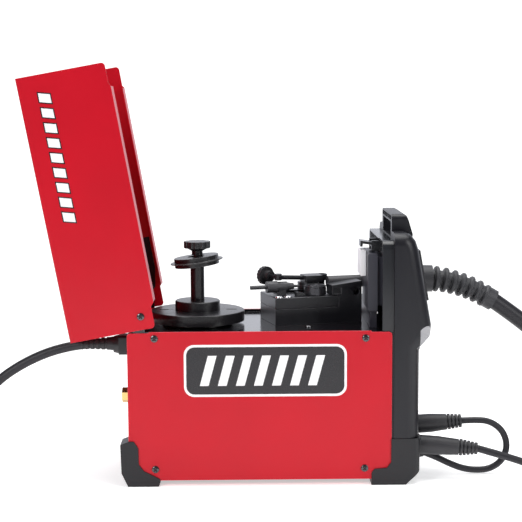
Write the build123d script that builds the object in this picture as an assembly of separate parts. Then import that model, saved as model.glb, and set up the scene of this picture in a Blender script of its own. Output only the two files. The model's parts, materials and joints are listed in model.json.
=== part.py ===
from build123d import *
import math
import os

# A compact wire-feed (MIG) welding machine with its lid open.
# Millimetres. +X is the front (controls), +Y the far side, +Z up.
# The origin is on the floor under the middle of the case.

# ---------------------------------------------------------------- driving dimensions
CASE_HALF_LENGTH = 143.0
CASE_HALF_WIDTH = 82.5
SHEET = 1.2
PANEL_BOTTOM = 6.5
PANEL_CORNER_TOP = 168.9
PANEL_RIM_TOP = 170.2
RIM_REAR_X = -119.4
RIM_FRONT_X = 120.7
DECK_TOP = 166.5
PAN_FLOOR = 8.0
FOOT_HALF_WIDTH = 84.2

LID_OPEN_ANGLE = 100.25
LID_LIP_Z = 170.6
LID_FOLD = 24.6
HINGE_X = -127.7
HINGE_Z = 187.2
HINGE_PIN_R = 2.5
RUNNING_GAP = 0.06

SPOOL_X = -69.2
POST_R = 7.8
STUD_R = 4.0

DRIVE_ORIGIN = (18.4, -23.4, 0.0)
DRIVE_YAW = 15.0
HOUSING_LENGTH = 75.0
HOUSING_DEPTH = 62.0
HOUSING_SEAM = 184.6
HOUSING_TOP = 197.4
TOWER_END = 102.5
TENSION_PIVOT = (69.0, 44.0)
TENSION_EYE = (12.5, 31.0)
TENSION_YAW = -67.0
TENSION_Z = 217.0
WIRE_LINE_V = 29.0
WIRE_Z = 206.5
ROLL_R = 12.5
ROLL_U = 52.0
DRIVE_ROLL_V = 16.0
IDLER_ROLL_V = 42.0
GEAR_TEETH = 38
PINION_TEETH = 12
GEAR_MODULE = 0.6

BEZEL_HALF_WIDTH = 83.4
BEZEL_REAR_X = 145.2
BEZEL_WALL = 2.5
BEZEL_CORNER_R = 14.0
LOWER_FACE_X = 173.5
SEAM_Z = 51.3
CHIN = ((173.5, 147.0), (185.4, 160.5), (186.3, 175.0))
BROW = (171.8, 257.0)
BEZEL_TOP = 275.0
HANDLE_HALF_WIDTH = 50.0
HANDLE_TOP = 293.2
GRIP_BOTTOM = 284.5
ARCH_X = 132.7
ARCH_TOP = 266.9
ARCH_INNER_TOP = 252.0
LATCH_X = 128.0
LATCH_Z = 256.5
KNOB_YS = (-42.0, -10.0)
KNOB_UP = 54.0

GUN_Y = 49.0
GUN_Z = 209.8
GUN_CABLE_D = 19.0
POWER_CORD_D = 10.4
WORK_CABLE_D = 8.0
LEAD_D = 7.2

UPPER_PLUG = (-36.0, 56.2)
LOWER_PLUG = (-58.0, 38.7)
LEAD_HOLE = (-42.0, 25.5)

GLAND_Y = -45.0
GLAND_Z = 151.0
GAS_Y = -50.0
GAS_Z = 95.0
FAN_Y = 25.0
FAN_Z = 69.0
ROCKER_Y = 45.0
ROCKER_Z = 128.0

PARTS = {}


# ---------------------------------------------------------------- helpers
def brick(x0, x1, y0, y1, z0, z1):
    """A box between two corners."""
    centre = ((x0 + x1) / 2, (y0 + y1) / 2, (z0 + z1) / 2)
    return Pos(*centre) * Box(x1 - x0, y1 - y0, z1 - z0)


def rod(radius, start, end):
    """A cylinder between two points."""
    line = Vector(*end) - Vector(*start)
    plane = Plane(origin=start, z_dir=line)
    return extrude(plane * Circle(radius), line.length)


def cone(start_radius, end_radius, start, end):
    """A tapered rod between two points."""
    line = Vector(*end) - Vector(*start)
    first = Plane(origin=start, z_dir=line)
    last = Plane(origin=end, z_dir=line)
    return loft([first * Circle(start_radius), last * Circle(end_radius)])


def side_prism(points, y0, y1):
    """An outline in X and Z, stretched from y0 to y1."""
    plane = Plane(origin=(0, y1, 0), x_dir=(1, 0, 0), z_dir=(0, -1, 0))
    face = plane * make_face(Polyline(*points, close=True))
    return extrude(face, y1 - y0)


def disc(radius, x, y, z0, z1):
    return rod(radius, (x, y, z0), (x, y, z1))


def in_drive(shape):
    """Place a shape made in the wire drive's own frame (u along the wire)."""
    return Location(DRIVE_ORIGIN, (0, 0, DRIVE_YAW)) * shape


def opened(shape):
    """Turn a lid shape from closed to open about the hinge."""
    hinge = Axis((HINGE_X, 0, HINGE_Z), (0, 1, 0))
    return shape.rotate(hinge, -LID_OPEN_ANGLE)


def round_corners(solid, direction, radius, pick):
    """Round the picked edges that run along one axis."""
    edges = [e for e in solid.edges().filter_by(direction) if pick(e.center())]
    return fillet(edges, radius)


def add(name, *solids):
    PARTS[name] = solids[0] if len(solids) == 1 else Compound(children=list(solids))


def cord_path(points):
    """Straight runs joined by arcs as large as the runs allow."""
    corners = [Vector(*p) for p in points]
    radii = []
    for before, here, after in zip(corners, corners[1:], corners[2:]):
        turn = math.radians((here - before).get_angle(after - here))
        shorter = min((here - before).length, (after - here).length)
        radii.append(0.45 * shorter / math.tan(turn / 2))
    return FilletPolyline(*points, radius=radii), radii


def cord_tube(name, points, diameter):
    path, radii = cord_path(points)
    section = Plane(origin=path @ 0, z_dir=path % 0) * Circle(diameter / 2)
    tube = sweep(section, path=path)
    share = tube.volume / (math.pi * diameter**2 / 4 * path.length)
    least = min(radii) / diameter
    print(f"{name}: length {path.length:.1f}, volume ratio {share:.4f}, least radius {least:.1f} d")
    print("   radii", " ".join(f"{r:.0f}" for r in radii))
    return tube


def coil_ring(centre, mean_radius, thickness, height):
    """The outer shape of a neat round coil lying on the floor."""
    outer = disc(mean_radius + thickness / 2, *centre, 0, height)
    ring = outer - disc(mean_radius - thickness / 2, *centre, -1, height + 1)
    return fillet(ring.edges(), thickness * 0.2)


# ---------------------------------------------------------------- case
def side_panel(sign):
    """A steel side with a foot fold and a raised top rim between two relief notches."""
    outer = sign * CASE_HALF_WIDTH
    inner = sign * (CASE_HALF_WIDTH - SHEET)
    y0, y1 = sorted((outer, inner))
    x = CASE_HALF_LENGTH
    plate = brick(-x, x, y0, y1, PANEL_BOTTOM, PANEL_CORNER_TOP)
    plate = round_corners(plate, Axis.Y, 4.0, lambda c: True)
    rim = brick(RIM_REAR_X, RIM_FRONT_X, y0, y1, PANEL_CORNER_TOP - 1, PANEL_RIM_TOP)
    fold = sorted((outer, sign * (CASE_HALF_WIDTH - 9.0)))
    return plate + rim + brick(-x + 12, x - 12, *fold, PANEL_BOTTOM, PANEL_BOTTOM + SHEET)


def base_pan():
    x, y = CASE_HALF_LENGTH - 2.0, CASE_HALF_WIDTH - SHEET - 0.3
    tray = brick(-x, x, -y, y, PAN_FLOOR, 26.0)
    tray -= brick(-x + SHEET, x - SHEET, -y + SHEET, y - SHEET, PAN_FLOOR + SHEET, 30.0)
    wall = brick(x - SHEET, x, -y, y, PAN_FLOOR, DECK_TOP - 1.5)
    window = brick(x - 5, x + 5, -55, 65, 40, 140)
    return tray + wall - window


def rear_panel():
    x0 = -CASE_HALF_LENGTH
    y = CASE_HALF_WIDTH - SHEET - 0.3
    plate = brick(x0, x0 + SHEET, -y, y, PAN_FLOOR, DECK_TOP + 0.4)
    plate -= rod(8.0, (x0 - 1, GLAND_Y, GLAND_Z), (x0 + 3, GLAND_Y, GLAND_Z))
    plate -= rod(5.2, (x0 - 1, GAS_Y, GAS_Z), (x0 + 3, GAS_Y, GAS_Z))
    plate -= brick(x0 - 1, x0 + 3, ROCKER_Y - 7.5, ROCKER_Y + 7.5, ROCKER_Z - 13.5, ROCKER_Z + 13.5)
    for row in range(9):
        z = FAN_Z - 32 + 8 * row
        half = math.sqrt(36.0**2 - (z - FAN_Z) ** 2)
        plate -= brick(x0 - 1, x0 + 3, FAN_Y - half, FAN_Y + half, z - 2, z + 2)
    return plate


def deck():
    """The shelf that carries the spool and the wire drive, with the lid's hinge ears."""
    half = CASE_HALF_WIDTH - 3.0
    bottom = DECK_TOP - SHEET
    plate = brick(-CASE_HALF_LENGTH + SHEET, CASE_HALF_LENGTH - 2.0, -half, half, bottom, DECK_TOP)
    for sign in (-1, 1):
        y0, y1 = sorted((sign * half, sign * (half + SHEET)))
        plate += brick(RIM_REAR_X - 14.6, RIM_FRONT_X, y0, y1, bottom, PANEL_RIM_TOP - 0.3)
        ear = brick(HINGE_X - 9.0, HINGE_X + 4.2, y0, y1, bottom, HINGE_Z + 5.0)
        ear = round_corners(ear, Axis.Y, 4.0, lambda c: c.Z > HINGE_Z)
        plate += ear
        plate -= rod(HINGE_PIN_R, (HINGE_X, y0 - 1, HINGE_Z), (HINGE_X, y1 + 1, HINGE_Z))
    plate -= disc(5.0, SPOOL_X, 0, bottom - 1, DECK_TOP + 1)
    plate -= in_drive(disc(9.0, ROLL_U, 31.0, bottom - 1, DECK_TOP + 1))
    return plate


def rear_feet():
    outline = [(-152, 46.8), (-142.7, 50.3), (-137.2, 50.3), (-132.4, 43), (-132, 25)]
    outline += [(-126.6, 17.6), (-109.4, 8.8), (-108.7, 5), (-110.5, 0), (-144, 0), (-151, 15)]
    feet = []
    for sign in (-1, 1):
        y0, y1 = sorted((sign * FOOT_HALF_WIDTH, sign * 56.0))
        foot = side_prism(outline, y0, y1)
        gap = CASE_HALF_WIDTH + 0.1
        foot -= brick(-CASE_HALF_LENGTH - 0.2, 0, -gap, gap, PANEL_BOTTOM - 0.3, 100)
        feet.append(foot)
    return feet


def front_foot():
    """The base moulding under the bezel; it also wraps the front corners of the case."""
    x = LOWER_FACE_X + 0.5
    outline = [(142.6, SEAM_Z), (142.4, 25), (138, 19), (124.5, 18), (121.3, 14), (121, 0)]
    outline += [(158.6, 0), (x, 14.5), (x, SEAM_Z)]
    foot = side_prism(outline, -FOOT_HALF_WIDTH, FOOT_HALF_WIDTH)
    foot = round_corners(foot, Axis.Z, 6.0, lambda c: c.X > 170)
    gap = CASE_HALF_WIDTH + 0.1
    foot -= brick(100, CASE_HALF_LENGTH + 0.2, -gap, gap, PANEL_BOTTOM - 0.3, 100)
    foot -= brick(CASE_HALF_LENGTH + 2.5, x - BEZEL_WALL, -FOOT_HALF_WIDTH + 3, FOOT_HALF_WIDTH - 3, 17, 100)
    foot -= brick(100, 135, -60, 60, -1, 30)
    y, z = LOWER_PLUG
    foot -= rod(9.2, (160, y, z), (180, y, z))
    y, z = UPPER_PLUG
    foot -= rod(9.2, (160, y, z), (180, y, z))
    y, z = LEAD_HOLE
    return foot - rod(4.6, (160, y, z), (180, y, z))


# ---------------------------------------------------------------- front
def bezel_outline():
    lower = [(BEZEL_REAR_X, SEAM_Z + 0.3), (LOWER_FACE_X, SEAM_Z + 0.3)]
    brow = [BROW, (168.8, 266), (163.5, 272.5), (157, BEZEL_TOP), (BEZEL_REAR_X, BEZEL_TOP)]
    return lower + list(CHIN) + brow


def round_sides(body, half, radius):
    """Round the front edges along both sides of an upright shell, but not its bottom edges."""
    edges = [e for e in body.edges() if abs(abs(e.center().Y) - half) < 0.01]
    return fillet([e for e in edges if e.center().X > 150 and e.center().Z > SEAM_Z + 10], radius)


def carrying_handle():
    """The grip over the bezel, hollow at the back, with webs across the hollow."""
    x = BEZEL_REAR_X
    outline = [(x, 268), (x, HANDLE_TOP), (158, HANDLE_TOP), (161.5, 291.5)]
    outline += [(163.6, 287), (168.4, 271), (168, 268)]
    grip = side_prism(outline, -HANDLE_HALF_WIDTH, HANDLE_HALF_WIDTH)
    ends = [e for e in grip.edges().filter_by(Axis.X) if e.center().Z > HANDLE_TOP - 1]
    grip = fillet(ends, 6.0)
    grip -= brick(x - 15, x + 35, -40, 40, BEZEL_TOP - 7, GRIP_BOTTOM)
    web = 2.0
    cells = 7
    step = (2 * HANDLE_HALF_WIDTH - 10) / cells
    for k in range(cells):
        y = -HANDLE_HALF_WIDTH + 5 + step * k
        grip -= brick(x - 1, x + 9, y + web / 2, y + step - web / 2, GRIP_BOTTOM + web, HANDLE_TOP - web)
    return grip


def chin_facet(sign):
    """The waste outside a flat that cuts the chin's corner."""
    corner = (181.5, sign * 82.0, 177.0)
    outwards = (0.558, sign * 0.650, -0.517)
    above = (Align.CENTER, Align.CENTER, Align.MIN)
    waste = Plane(origin=corner, z_dir=outwards) * Box(90, 90, 30, align=above)
    return waste & brick(LOWER_FACE_X, 200, -90, 90, CHIN[0][1], 190)


def front_bezel():
    half = BEZEL_HALF_WIDTH
    body = round_sides(side_prism(bezel_outline(), -half, half), half, BEZEL_CORNER_R)
    body -= brick(130, 180, -40, 40, BEZEL_TOP - 7, BEZEL_TOP + 5)
    body += carrying_handle()
    for sign in (-1, 1):
        body -= chin_facet(sign)
        y0, y1 = sorted((sign * 80.2, sign * 82.0))
        body += brick(CASE_HALF_LENGTH + 0.4, BEZEL_REAR_X, y0, y1, SEAM_Z + 0.3, PANEL_CORNER_TOP - 1.5)
    wall = BEZEL_WALL
    cavity = [(BEZEL_REAR_X - 1, SEAM_Z - 5), (LOWER_FACE_X - wall, SEAM_Z - 5)]
    cavity += [(LOWER_FACE_X - wall, 150), (179.5, 168), (179.8, 174.5)]
    cavity += [(168.8, 254), (BEZEL_REAR_X - 1, 258)]
    half -= wall
    body -= round_sides(side_prism(cavity, -half, half), half, BEZEL_CORNER_R - wall)
    body -= fascia_frame(brick(-8, 5, -63, 11, 29, 80))
    for y, z in (UPPER_PLUG, LOWER_PLUG):
        body -= rod(9.2, (160, y, z), (180, y, z))
    louvre, gap = 9, 4
    for row in range(7):
        z = 82 + louvre * row
        body -= brick(160, 180, 5, 65, z, z + gap)
    return body - rod(12.0, (160, GUN_Y, GUN_Z), (195, GUN_Y, GUN_Z))


def fascia_frame(shape):
    """Place a shape made on the sloping front: X outwards, Z up the slope."""
    (x0, z0), (x1, z1) = CHIN[2], BROW
    lean = math.degrees(math.atan2(x0 - x1, z1 - z0))
    return Location((x0, 0, z0), (0, -lean, 0)) * shape


def control_fascia():
    plate = brick(0.05, 2.6, -66, 66, 25.5, 81)
    dish = brick(-7.5, 2.6, -61, 9, 31, 78) - brick(-5.5, 5, -59, 7, 33, 76)
    hollow = brick(-5.5, 5, -59, 7, 33, 76)
    fascia = fascia_frame(plate - hollow + dish)
    for y in KNOB_YS:
        fascia -= fascia_frame(rod(3.0 + RUNNING_GAP, (-9, y, KNOB_UP), (-3, y, KNOB_UP)))
    return fascia - rod(16.2, (165, GUN_Y, GUN_Z), (200, GUN_Y, GUN_Z))


def control_knob(y):
    """A pointer knob with a fluted skirt on a round shaft."""
    knob = rod(12.0, (-5.0, y, KNOB_UP), (0.0, y, KNOB_UP)) + rod(9.6, (0.0, y, KNOB_UP), (4.0, y, KNOB_UP))
    for k in range(12):
        a = math.tau * k / 12
        dy, dz = 10.3 * math.cos(a), 10.3 * math.sin(a)
        knob -= rod(1.4, (0.4, y + dy, KNOB_UP + dz), (4.5, y + dy, KNOB_UP + dz))
    knob += rod(3.0, (-14.0, y, KNOB_UP), (-5.0, y, KNOB_UP))
    return fascia_frame(knob)


def lid_seat_rim():
    """The arch behind the bezel that the closed lid rests over, webbed along its hollow top."""
    def arch(half, top, radius, x0, x1):
        shape = brick(x0, x1, -half, half, DECK_TOP, top)
        return round_corners(shape, Axis.X, radius, lambda c: c.Z > DECK_TOP + 10)

    x0, x1 = ARCH_X, BEZEL_REAR_X
    rim = arch(79.8, ARCH_TOP, 10.0, x0, x1) - arch(74.0, ARCH_INNER_TOP, 6.0, x0 - 1, x1 + 1)
    cell, web = 13.6, 1.8
    for k in range(-5, 5):
        rim -= brick(x0 - 1, x1 - 2, cell * k + web / 2, cell * (k + 1) - web / 2, 254.5, ARCH_TOP - 2)
    for y in (-36.0, -9.0):
        lug = brick(124.5, x1 - 1, y, y + 3.0, 251.0, 263.0)
        lug -= rod(1.5 + RUNNING_GAP, (LATCH_X, y - 1, LATCH_Z), (LATCH_X, y + 4, LATCH_Z))
        rim += lug
    return rim


def lid_latch():
    """A sprung hook on its own pin, pointing back over the control box."""
    outline = [(125.5, 253.8), (130.6, 253.8), (130.6, 258.6), (127, 260.6), (112.5, 262.6)]
    outline += [(112.5, 256), (115, 256), (115.5, 259.2), (124, 258)]
    hook = side_prism(outline, -32.0, -10.0)
    pin = rod(1.5, (LATCH_X, -35.5, LATCH_Z), (LATCH_X, -6.5, LATCH_Z))
    return hook + pin


def control_box():
    """The board housing behind the panel, with a skirt down to the deck that hides the wiring."""
    slab = brick(119.4, 130.2, -50, 20, 186.6, 249.5)
    slab = round_corners(slab, Axis.Y, 1.5, lambda c: True)
    back = brick(130.0, 160.0, -46, 16, 192, 246)
    skirt = brick(122.5, 130.0, -42, 62, DECK_TOP + 0.3, 190.0)
    return slab + back + skirt


# ---------------------------------------------------------------- lid
def lid_shell():
    """A folded steel hood, open towards the deck and at the front, with lips along both sides."""
    half, rear, front = CASE_HALF_WIDTH, -142.2, 144.7
    rear_edge, front_edge, lip = LID_LIP_Z + 3.6, LID_LIP_Z + 2.0, LID_LIP_Z
    rear_top, front_top = 267.2, 268.3
    lip_rear, lip_front = -115.0, 119.5
    outline = [(rear, rear_edge), (lip_rear - 3.7, rear_edge), (lip_rear, lip), (lip_front, lip)]
    outline += [(lip_front + 2.5, front_edge), (front, front_edge), (front, front_top), (rear, rear_top)]
    shell = side_prism(outline, -half, half)
    shell = round_corners(shell, Axis.Y, 4.0, lambda c: c.Z < 180 and abs(c.X) > 140)
    long_edges = [e for e in shell.edges() if e.center().Z > 266 and e.length > 250]
    shell = fillet(long_edges, 2.0)
    inside = [(rear + SHEET, lip - 5), (front + 5, lip - 5), (front + 5, front_top - SHEET)]
    inside += [(rear + SHEET, rear_top - SHEET)]
    shell -= side_prism(inside, -half + SHEET, half - SHEET)
    shell -= brick(rear - 2, rear + 8, -half + SHEET, -66, 160, 200)
    shell -= brick(rear - 2, rear + 8, 66, half - SHEET, 160, 200)
    shell -= brick(rear - 2, rear + 8, -67, 67, 160, 178)
    shell -= brick(rear - 2, rear + 8, -34, 34, 160, 186)
    for sign in (-1, 1):
        y0, y1 = sorted((sign * (half - 0.4), sign * (half - 0.4 - LID_FOLD)))
        shell += brick(lip_rear + 0.5, lip_front - 0.5, y0, y1, lip, lip + SHEET)
        hole = ((HINGE_X, sign * (half - 4), HINGE_Z), (HINGE_X, sign * (half + 2), HINGE_Z))
        shell -= rod(HINGE_PIN_R + RUNNING_GAP, *hole)
    return opened(shell)


def hinge_pins():
    pins = []
    for sign in (-1, 1):
        shank = rod(HINGE_PIN_R, (HINGE_X, sign * 77.5, HINGE_Z), (HINGE_X, sign * 83.0, HINGE_Z))
        head = rod(4.0, (HINGE_X, sign * 82.85, HINGE_Z), (HINGE_X, sign * 84.6, HINGE_Z))
        pins.append(shank + head)
    return pins


def case_screws():
    screws = []
    for sign in (-1, 1):
        y = sign * CASE_HALF_WIDTH
        for x, z in ((-113.5, 163.0), (114.5, 162.3), (-114.0, 19.0), (113.6, 18.7)):
            head = rod(4.0, (x, y, z), (x, y + sign * 2.0, z))
            screws.append(fillet(head.edges().sort_by(Axis.Y)[0 if sign < 0 else -1], 1.2))
    for x, y in ((55.0, -32.5), (-30.0, 62.0), (-125.0, 0.0)):
        screws.append(disc(4.0, x, y, DECK_TOP, DECK_TOP + 2.2))
    for u, v in ((6.0, 6.0), (17.0, 6.0)):
        screws.append(in_drive(disc(4.2, u, v, HOUSING_TOP, HOUSING_TOP + 2.0)))
    return screws


# ---------------------------------------------------------------- spool carrier
def spindle_post():
    post = disc(POST_R, SPOOL_X, 0, DECK_TOP, 236.0)
    post += disc(STUD_R, SPOOL_X, 0, 236.0, 256.5)
    post += disc(5.0, SPOOL_X, 0, 150.0, DECK_TOP)
    return post + disc(9.0, SPOOL_X, 0, 158.0, DECK_TOP - SHEET)


def spool_hub():
    """Flange and collar that the wire spool sits on."""
    hub = disc(40.0, SPOOL_X, 0, 167.0, 171.0) + disc(53.0, SPOOL_X, 0, 170.5, 182.2)
    rim = [e for e in hub.edges() if e.center().Z > 181 and e.length > 300]
    hub = fillet(rim, 1.2)
    collar = disc(25.4, SPOOL_X, 0, 182.0, 193.2)
    hub += chamfer(collar.edges().sort_by(Axis.Z)[-1], 1.0)
    for side in (-1, 1):
        x = SPOOL_X + side * 38.5
        slot = brick(x - 4, x + 4, -2, 2, 176, 184) + disc(2.0, x - 4, 0, 176, 184)
        hub -= slot + disc(2.0, x + 4, 0, 176, 184)
    return hub - disc(POST_R + RUNNING_GAP, SPOOL_X, 0, 160, 200)


def hold_down_cap():
    """Two thick washers with a thin one between them, resting askew on the post."""
    cap = disc(25.2, 0, 0, -5.0, -0.6) + disc(29.8, 0, 0, -0.6, 0.6) + disc(25.2, 0, 0, 0.6, 5.6)
    cap -= disc(9.6, 0, 0, -10, 10)
    return Location((SPOOL_X - 0.6, 0, 237.6), (0, -7.0, 0)) * cap


def hold_down_knob():
    knob = disc(6.2, SPOOL_X, 0, 244.4, 251.5) + cone(7.0, 12.5, (SPOOL_X, 0, 249.5), (SPOOL_X, 0, 252.5))
    knob += disc(15.0, SPOOL_X, 0, 252.5, 260.0)
    for k in range(12):
        a = math.tau * (k + 0.5) / 12
        knob -= disc(2.2, SPOOL_X + 16.0 * math.cos(a), 16.0 * math.sin(a), 252, 261)
    return knob - disc(STUD_R + RUNNING_GAP, SPOOL_X, 0, 240, 257.0)


# ---------------------------------------------------------------- wire drive
def drive_housing():
    body = brick(0, HOUSING_LENGTH, 0, HOUSING_DEPTH, DECK_TOP, HOUSING_SEAM)
    body -= brick(30, HOUSING_LENGTH - 3, 3, HOUSING_DEPTH - 15, DECK_TOP + 3, HOUSING_SEAM + 1)
    body -= disc(6.0, ROLL_U, 31.0, DECK_TOP - 1, DECK_TOP + 5)
    body += disc(5.0, ROLL_U, DRIVE_ROLL_V, DECK_TOP, 171.0)
    end = TOWER_END
    side = [(HOUSING_LENGTH, DECK_TOP), (end, DECK_TOP), (end, 213.5)]
    side += [(67, 209.5), (67, 197.9), (HOUSING_LENGTH, 197.9)]
    tower = side_prism(side, 0, 20.5) + brick(HOUSING_LENGTH, end, 0, 36, DECK_TOP, 201.0)
    tower -= rod(3.8, (96, -1, 201), (96, 12, 201)) + brick(69, 78, -1, 1.2, 199.5, 206.5)
    body += tower
    body -= disc(3.0 + RUNNING_GAP, ROLL_U, DRIVE_ROLL_V, 168.5, 175)
    return in_drive(body)


def drive_cover():
    cover = brick(0, HOUSING_LENGTH, 0, HOUSING_DEPTH, HOUSING_SEAM + 0.4, HOUSING_TOP)
    cover = fillet(cover.edges().sort_by(Axis.Z)[-4:], 1.2)
    cover -= brick(30, HOUSING_LENGTH - 3, 3, HOUSING_DEPTH - 15, HOUSING_SEAM, 193.0)
    cover += disc(3.5, *TENSION_PIVOT, HOUSING_TOP - 2, 216.0) + disc(3.0, 20, 50, HOUSING_TOP - 1, 203.0)
    lever = side_prism([(27, 197), (37, 197), (37, 200.2), (29, 202.8), (27, 202)], 6, 15)
    cover += lever
    cover -= disc(3.0 + RUNNING_GAP, ROLL_U, DRIVE_ROLL_V, 185, 200)
    return in_drive(cover)


def wire_guides():
    """The inlet guide beside the spool and the outlet guide towards the gun."""
    v, z = WIRE_LINE_V, WIRE_Z
    inlet = rod(2.3, (-21, v, z), (0, v, z)) + rod(6.5, (-2, v, z), (10.5, v, z))
    inlet += rod(5.7, (10.5, v, z), (22, v, z)) + cone(4.7, 3.4, (22, v, z), (30, v, z))
    inlet += cone(1.8, 1.3, (30, v, z), (37, v, z)) + brick(12, 20, v - 4.5, v + 4.5, HOUSING_TOP, z)
    inlet -= rod(0.8, (-22, v, z), (38, v, z))
    z += 3
    outlet = rod(7.0, (71, v, z), (118, v, z)) + rod(5.0, (118, v, z), (168, v, z))
    outlet += brick(78, 96, v - 3, v + 5, 201.0, z)
    return in_drive(inlet), in_drive(outlet - rod(1.2, (70, v, z), (175, v, z)))


def toothed_wheel(teeth, centre, z0, z1, phase):
    """A spur gear with straight-sided teeth."""
    pitch = GEAR_MODULE * teeth / 2
    tip, root = pitch + 0.5, pitch - 0.7
    step = math.tau / teeth
    points = []
    for k in range(teeth):
        middle = phase + k * step
        for share, radius in ((-0.30, root), (-0.12, tip), (0.12, tip), (0.30, root)):
            angle = middle + share * step
            points.append((centre[0] + radius * math.cos(angle), centre[1] + radius * math.sin(angle)))
    face = Plane(origin=(0, 0, z0)) * make_face(Polyline(*points, close=True))
    return extrude(face, z1 - z0)


def drive_gear():
    wheel = toothed_wheel(GEAR_TEETH, (ROLL_U, DRIVE_ROLL_V), 172.5, 179.5, math.pi / 2)
    return in_drive(wheel + disc(3.0, ROLL_U, DRIVE_ROLL_V, 169.5, 209.0))


def motor_pinion():
    v = DRIVE_ROLL_V + GEAR_MODULE * (GEAR_TEETH + PINION_TEETH) / 2
    step = math.tau / PINION_TEETH
    wheel = toothed_wheel(PINION_TEETH, (ROLL_U, v), 172.2, 179.8, -math.pi / 2 + step / 2)
    return in_drive(wheel + disc(1.5, ROLL_U, v, 150.0, 182.0))


def drive_motor():
    v = DRIVE_ROLL_V + GEAR_MODULE * (GEAR_TEETH + PINION_TEETH) / 2
    motor = disc(18.0, ROLL_U, v, 98, 145) + disc(16.0, ROLL_U, v, 145, 165.3)
    motor -= disc(1.5 + RUNNING_GAP, ROLL_U, v, 148, 170)
    return in_drive(motor + disc(6.0, ROLL_U, v, 93, 99))


def grooved_roll(v, bore, z0, z1):
    roll = disc(ROLL_R, ROLL_U, v, z0, z1)
    roll -= disc(20.0, ROLL_U, v, WIRE_Z - 0.5, WIRE_Z + 0.5) - disc(ROLL_R - 0.5, ROLL_U, v, 190, 220)
    return roll - disc(bore, ROLL_U, v, 190, 220)


def drive_roll():
    roll = grooved_roll(DRIVE_ROLL_V, 3.0, 198.0, 208.0)
    cap = disc(11.0, ROLL_U, DRIVE_ROLL_V, 208.0, 209.2) - disc(3.0, ROLL_U, DRIVE_ROLL_V, 190, 220)
    return in_drive(roll + cap)


def idler_arm():
    pivot, axle = (20.0, 50.0), (ROLL_U, IDLER_ROLL_V)
    arm = disc(7.5, *pivot, 198.0, 200.6) + disc(7.5, *axle, 198.0, 200.6)
    run = Vector(axle[0] - pivot[0], axle[1] - pivot[1])
    middle = ((pivot[0] + axle[0]) / 2, (pivot[1] + axle[1]) / 2, 199.3)
    lean = math.degrees(math.atan2(run.Y, run.X))
    arm += Location(middle, (0, 0, lean)) * Box(run.length, 15.0, 2.6)
    arm += disc(2.5, *axle, 200.0, 210.2)
    return in_drive(arm - disc(3.0 + RUNNING_GAP, *pivot, 190, 210))


def idler_roll():
    return in_drive(grooved_roll(IDLER_ROLL_V, 2.5 + RUNNING_GAP, 201.1, 209.6))


def tension_arm():
    """A block on its pivot post, with a bar back to an eye that holds the tension screw."""
    block = brick(44, 65, 28, 50, 210.3, 217.6) + brick(60, 74.5, 38.5, 50, 210.3, 217.6)
    block = round_corners(block, Axis.Z, 2.5, lambda c: c.X < 50 or c.X > 70)
    block -= disc(3.5 + RUNNING_GAP, *TENSION_PIVOT, 205, 230)
    eye_u, eye_v = TENSION_EYE
    bar = rod(2.6, (eye_u, eye_v, TENSION_Z), (46, 38, 214.5))
    eye = disc(4.2, eye_u, eye_v, TENSION_Z - 3.2, TENSION_Z + 4.0)
    screw = rod(2.2, *tension_line(-30.0, 5.5))
    return in_drive(block + bar + eye + screw)


def tension_line(start, end):
    """Two points on the tension screw's line, measured from the eye in the drive's own frame."""
    eye_u, eye_v = TENSION_EYE
    way_u, way_v = math.cos(math.radians(TENSION_YAW)), math.sin(math.radians(TENSION_YAW))
    return [(eye_u + way_u * s, eye_v + way_v * s, TENSION_Z) for s in (start, end)]


def tension_knob():
    """A ribbed disc and its hub on the tension screw."""
    knob = rod(10.6, *tension_line(-26.0, -20.5)) + rod(6.2, *tension_line(-20.5, -13.0))
    middle = Vector(*tension_line(-26.5, 0)[0])
    way = Vector(*tension_line(0, 1)[1]) - Vector(*tension_line(0, 1)[0])
    across = Vector(0, 0, 1).cross(way)
    for k in range(16):
        a = math.tau * k / 16
        foot = middle + across * (10.9 * math.cos(a)) + Vector(0, 0, 10.9 * math.sin(a))
        knob -= rod(0.9, tuple(foot), tuple(foot + way * 5.0))
    return in_drive(knob - rod(2.2 + RUNNING_GAP, *tension_line(-40.0, 0.0)))


# ---------------------------------------------------------------- inside the case
def fan_frame():
    x0 = -CASE_HALF_LENGTH + SHEET
    frame = brick(x0, x0 + 15, FAN_Y - 40, FAN_Y + 40, FAN_Z - 40, FAN_Z + 40)
    frame -= rod(37.5, (x0 - 1, FAN_Y, FAN_Z), (x0 + 20, FAN_Y, FAN_Z))
    hub = rod(14.0, (x0 + 12, FAN_Y, FAN_Z), (x0 + 15, FAN_Y, FAN_Z))
    for k in range(4):
        arm = brick(x0 + 12, x0 + 14.5, FAN_Y - 2, FAN_Y + 2, FAN_Z + 10, FAN_Z + 38.5)
        hub += arm.rotate(Axis((0, FAN_Y, FAN_Z), (1, 0, 0)), 45 + 90 * k)
    hub += rod(1.5, (x0 + 4, FAN_Y, FAN_Z), (x0 + 13, FAN_Y, FAN_Z))
    return frame + hub


def fan_rotor():
    x0 = -CASE_HALF_LENGTH + SHEET
    rotor = rod(14.0, (x0 + 1.5, FAN_Y, FAN_Z), (x0 + 11, FAN_Y, FAN_Z))
    for k in range(7):
        blade = Location((x0 + 6.2, FAN_Y, FAN_Z + 24.5), (0, 0, 35)) * Box(1.6, 10.0, 22.5)
        rotor += blade.rotate(Axis((0, FAN_Y, FAN_Z), (1, 0, 0)), 360 * k / 7)
    return rotor - rod(1.5 + RUNNING_GAP, (x0 + 3, FAN_Y, FAN_Z), (x0 + 20, FAN_Y, FAN_Z))


def main_board():
    board = brick(-95, 100, -64, -62.4, 14, 150)
    board += brick(-90, -62, -62.4, -38, 100, 140)
    for x in (-40, -12):
        board += rod(12.5, (x, -62.4, 120), (x, -28, 120))
    return board


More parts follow.
